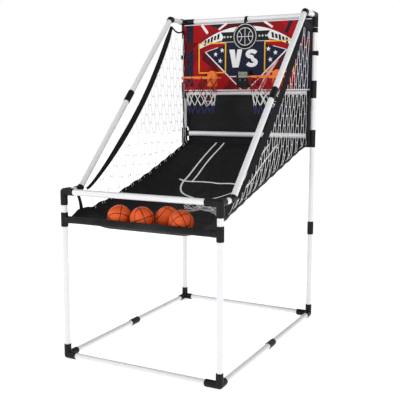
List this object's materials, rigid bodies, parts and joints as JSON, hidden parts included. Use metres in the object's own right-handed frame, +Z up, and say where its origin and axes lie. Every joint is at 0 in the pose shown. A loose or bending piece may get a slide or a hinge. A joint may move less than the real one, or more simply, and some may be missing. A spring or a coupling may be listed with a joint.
{
  "type": "basketball hoop machine",
  "caption": "Free-standing home arcade basketball game: push-fit tube frame, sloping cloth court with ball tray, printed backboard, hoops with nets, side nets, scorer and small balls",
  "frame": {"origin": "on the floor, under the middle of the frame's footprint", "axes": "+X to the player's right, +Y from the player towards the backboard, +Z up"},
  "size_m": [0.748, 1.06, 1.4975],
  "materials": {
    "white_tube": "gloss white paint on thin steel tube",
    "fitting": "black moulded plastic, fine grain",
    "board": "printed plastic board with a satin film",
    "steel": "zinc-plated",
    "rim": "orange powder coat on wire",
    "bracket": "orange moulded plastic",
    "hoop_net": "red, white and blue knotted cord",
    "scorer_plastic": "black moulded plastic",
    "button": "grey moulded plastic",
    "window": "clear window",
    "lcd": "grey-green display",
    "circuit": "green circuit board",
    "battery": "wrapped dry cells",
    "cloth": "black woven polyester",
    "side_net": "white knotted cord with a black webbing edge",
    "webbing": "black webbing",
    "ball": "orange pebbled rubber with black seams"
  },
  "bodies": {
    "frame": {"back_curtain": "cloth", "backboard_panel": "board", "base_corner_front_left": "fitting", "base_corner_front_right": "fitting", "base_corner_rear_left": "fitting", "base_corner_rear_right": "fitting", "base_front_tube": "white_tube", "base_rear_tube": "white_tube", "base_side_tubes_left": "white_tube", "base_side_tubes_right": "white_tube", "board_lower_crossbar": "white_tube", "board_tie_straps": "webbing", "board_top_crossbar": "white_tube", "bracket_bolts": "steel", "bracket_washers": "steel", "elbow_fittings": "fitting", "elbow_stub_tubes": "white_tube", "front_leg_tube_left": "white_tube", "front_leg_tube_right": "white_tube", "front_rail_tube": "white_tube", "front_spacer_tubes": "white_tube", "front_tee_fittings": "fitting", "front_top_corner_left": "fitting", "front_top_corner_right": "fitting", "hoop_net_left": "hoop_net", "hoop_net_right": "hoop_net", "ramp_cloth": "cloth", "ramp_cross_tube": "white_tube", "rear_post_tubes_left": "white_tube", "rear_post_tubes_right": "white_tube", "rear_tee_fittings": "fitting", "rear_top_corner_left": "fitting", "rear_top_corner_right": "fitting", "rim_bracket_left": "bracket", "rim_bracket_right": "bracket", "rim_left": "rim", "rim_right": "rim", "scorer_back_plate": "scorer_plastic", "scorer_batteries": "battery", "scorer_circuit_board": "circuit", "scorer_display_window": "window", "scorer_front_shell": "scorer_plastic", "scorer_lcd_panel": "lcd", "side_net_left": "side_net", "side_net_right": "side_net", "slanted_tubes_left": "white_tube", "slanted_tubes_right": "white_tube", "tray_hem_tube": "white_tube", "tray_straps": "webbing", "tube_couplers": "fitting"},
    "ball_one": {"ball_1": "ball"},
    "ball_two": {"ball_2": "ball"},
    "ball_three": {"ball_3": "ball"},
    "ball_four": {"ball_4": "ball"},
    "paddle_left": {"score_paddle_left": "scorer_plastic"},
    "paddle_right": {"score_paddle_right": "scorer_plastic"},
    "start_key": {"scorer_start_button": "button"},
    "reset_key": {"scorer_reset_button": "button"},
    "battery_hatch": {"scorer_battery_cover": "scorer_plastic"}
  },
  "joints": [
    {"name": "ball_one_lift", "type": "slide", "parent": "frame", "child": "ball_one", "axis": [0, 0, 1], "range_m": [0, 0.2]},
    {"name": "ball_two_lift", "type": "slide", "parent": "frame", "child": "ball_two", "axis": [0, 0, 1], "range_m": [0, 0.2]},
    {"name": "ball_three_lift", "type": "slide", "parent": "frame", "child": "ball_three", "axis": [0, 0, 1], "range_m": [0, 0.2]},
    {"name": "ball_four_lift", "type": "slide", "parent": "frame", "child": "ball_four", "axis": [0, 0, 1], "range_m": [0, 0.2]},
    {"name": "paddle_left_press", "type": "hinge", "parent": "frame", "child": "paddle_left", "pos_m": [-0.178, 0.4855, 1.14], "axis": [1, 0, 0], "range_deg": [0, 18], "stiffness_Nm_per_rad": 0.02, "springref_deg": -14.32},
    {"name": "paddle_right_press", "type": "hinge", "parent": "frame", "child": "paddle_right", "pos_m": [0.178, 0.4855, 1.14], "axis": [1, 0, 0], "range_deg": [0, 18], "stiffness_Nm_per_rad": 0.02, "springref_deg": -14.32},
    {"name": "start_press", "type": "slide", "parent": "frame", "child": "start_key", "axis": [0, 1, 0], "range_m": [0, 0.0015], "stiffness_N_per_m": 150, "springref_m": -0.001},
    {"name": "reset_press", "type": "slide", "parent": "frame", "child": "reset_key", "axis": [0, 1, 0], "range_m": [0, 0.0015], "stiffness_N_per_m": 150, "springref_m": -0.001},
    {"name": "hatch_slide", "type": "slide", "parent": "frame", "child": "battery_hatch", "axis": [0, 0, -1], "range_m": [0, 0.026]}
  ]
}
